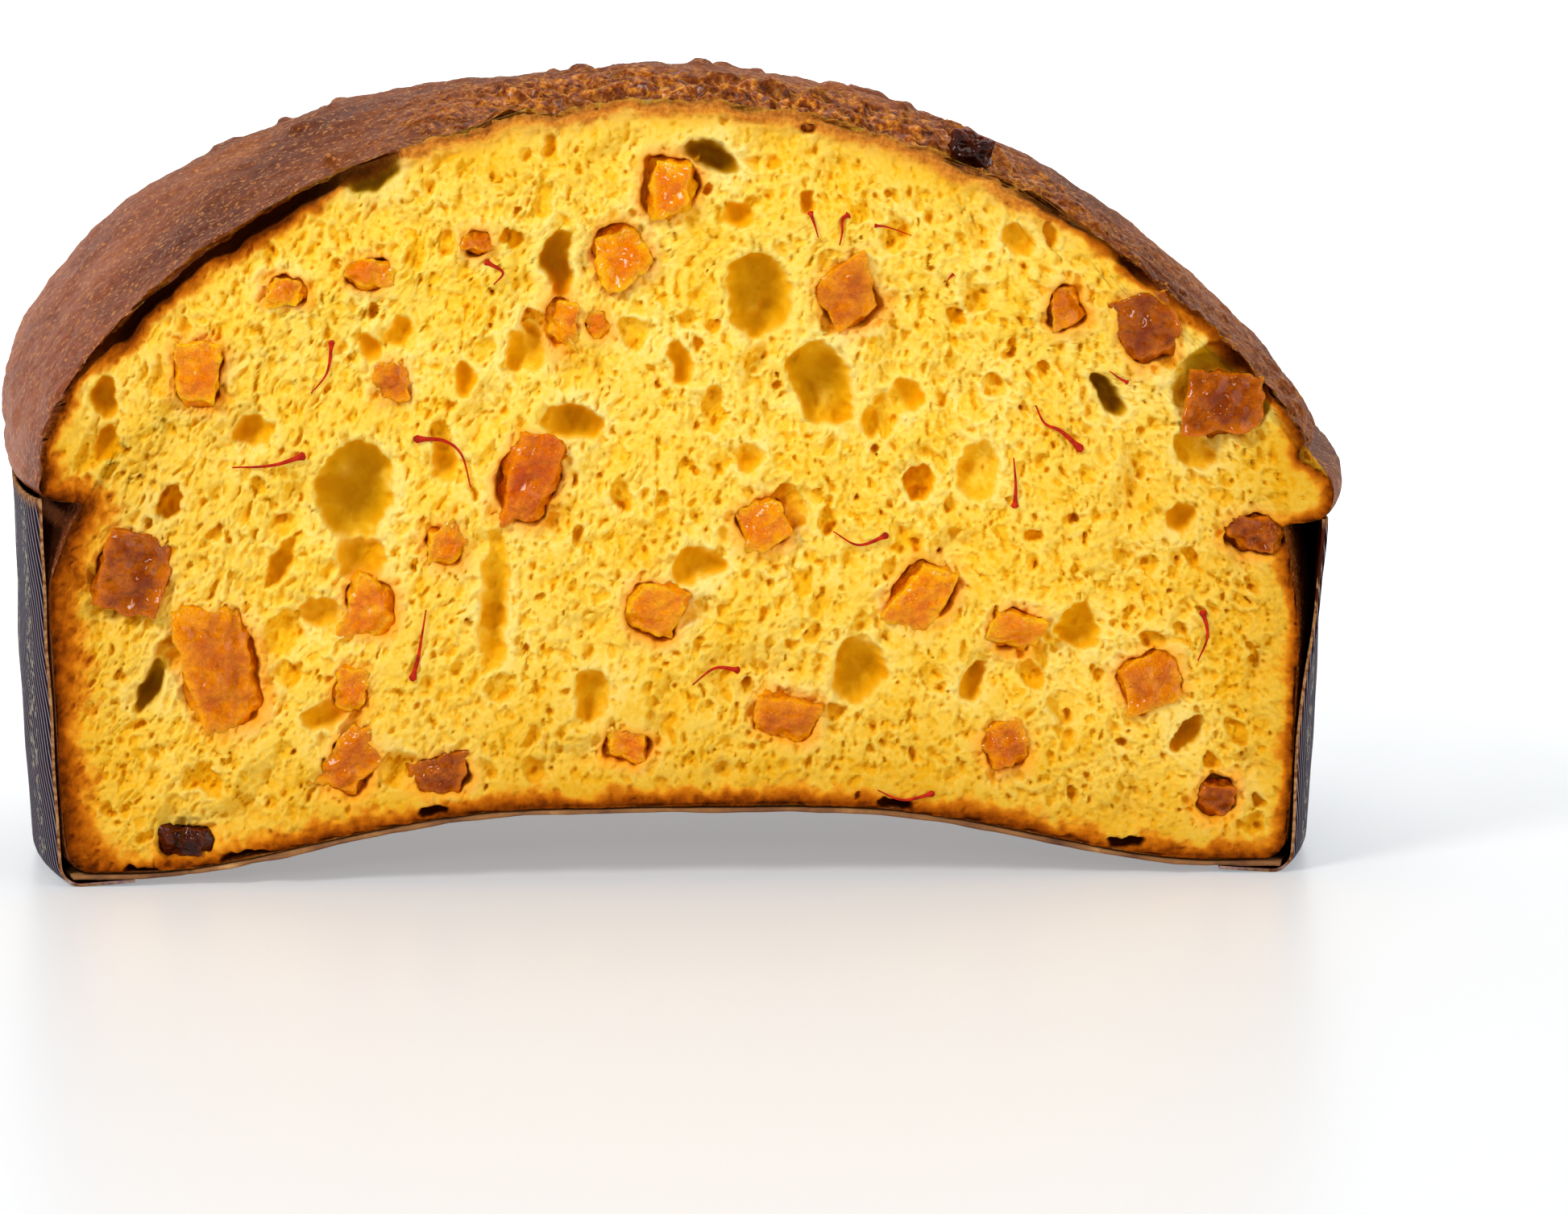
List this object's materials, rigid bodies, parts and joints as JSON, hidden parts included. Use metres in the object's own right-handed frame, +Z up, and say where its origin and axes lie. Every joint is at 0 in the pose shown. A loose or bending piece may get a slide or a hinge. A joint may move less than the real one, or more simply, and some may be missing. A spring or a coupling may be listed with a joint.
{
  "type": "cut panettone",
  "caption": "Large cut piece of a domed panettone in its paper mould: open yellow crumb with gas cells, candied orange cubes and saffron threads on the flat cut face.",
  "frame": {"origin": "on the table, in the middle of the piece's bounding box", "axes": "+Z up, -Y out of the flat cut face, +X to the right along the cut face seen from its front"},
  "size_m": [0.2152, 0.1446, 0.126],
  "materials": {
    "loaf": "matte open crumb under a satin dark brown crust",
    "mould_wall": "ribbed satin baking paper, dark aubergine with pale flecks",
    "mould_base": "matte baked brown board",
    "candied_fruit": "wet, translucent candied orange",
    "saffron": "dark red dried thread"
  },
  "bodies": {
    "root": {"loaf": "loaf", "mould_wall": "mould_wall", "mould_base": "mould_base", "candied_fruit_01": "candied_fruit", "candied_fruit_02": "candied_fruit", "candied_fruit_03": "candied_fruit", "candied_fruit_04": "candied_fruit", "candied_fruit_05": "candied_fruit", "candied_fruit_06": "candied_fruit", "candied_fruit_07": "candied_fruit", "candied_fruit_08": "candied_fruit", "candied_fruit_09": "candied_fruit", "candied_fruit_10": "candied_fruit", "candied_fruit_11": "candied_fruit", "candied_fruit_12": "candied_fruit", "candied_fruit_13": "candied_fruit", "candied_fruit_14": "candied_fruit", "candied_fruit_15": "candied_fruit", "candied_fruit_16": "candied_fruit", "candied_fruit_17": "candied_fruit", "candied_fruit_18": "candied_fruit", "candied_fruit_19": "candied_fruit", "candied_fruit_20": "candied_fruit", "candied_fruit_21": "candied_fruit", "candied_fruit_22": "candied_fruit", "candied_fruit_23": "candied_fruit", "candied_fruit_24": "candied_fruit", "candied_fruit_25": "candied_fruit", "candied_fruit_26": "candied_fruit", "candied_fruit_27": "candied_fruit", "candied_fruit_28": "candied_fruit", "candied_fruit_29": "candied_fruit", "candied_fruit_30": "candied_fruit", "candied_fruit_31": "candied_fruit", "candied_fruit_32": "candied_fruit", "candied_fruit_33": "candied_fruit", "saffron_thread_01": "saffron", "saffron_thread_02": "saffron", "saffron_thread_03": "saffron", "saffron_thread_04": "saffron", "saffron_thread_05": "saffron", "saffron_thread_06": "saffron", "saffron_thread_07": "saffron", "saffron_thread_08": "saffron", "saffron_thread_09": "saffron", "saffron_thread_10": "saffron", "saffron_thread_11": "saffron", "saffron_thread_12": "saffron", "saffron_thread_13": "saffron", "saffron_thread_14": "saffron", "saffron_thread_15": "saffron", "saffron_thread_16": "saffron"}
  },
  "joints": []
}
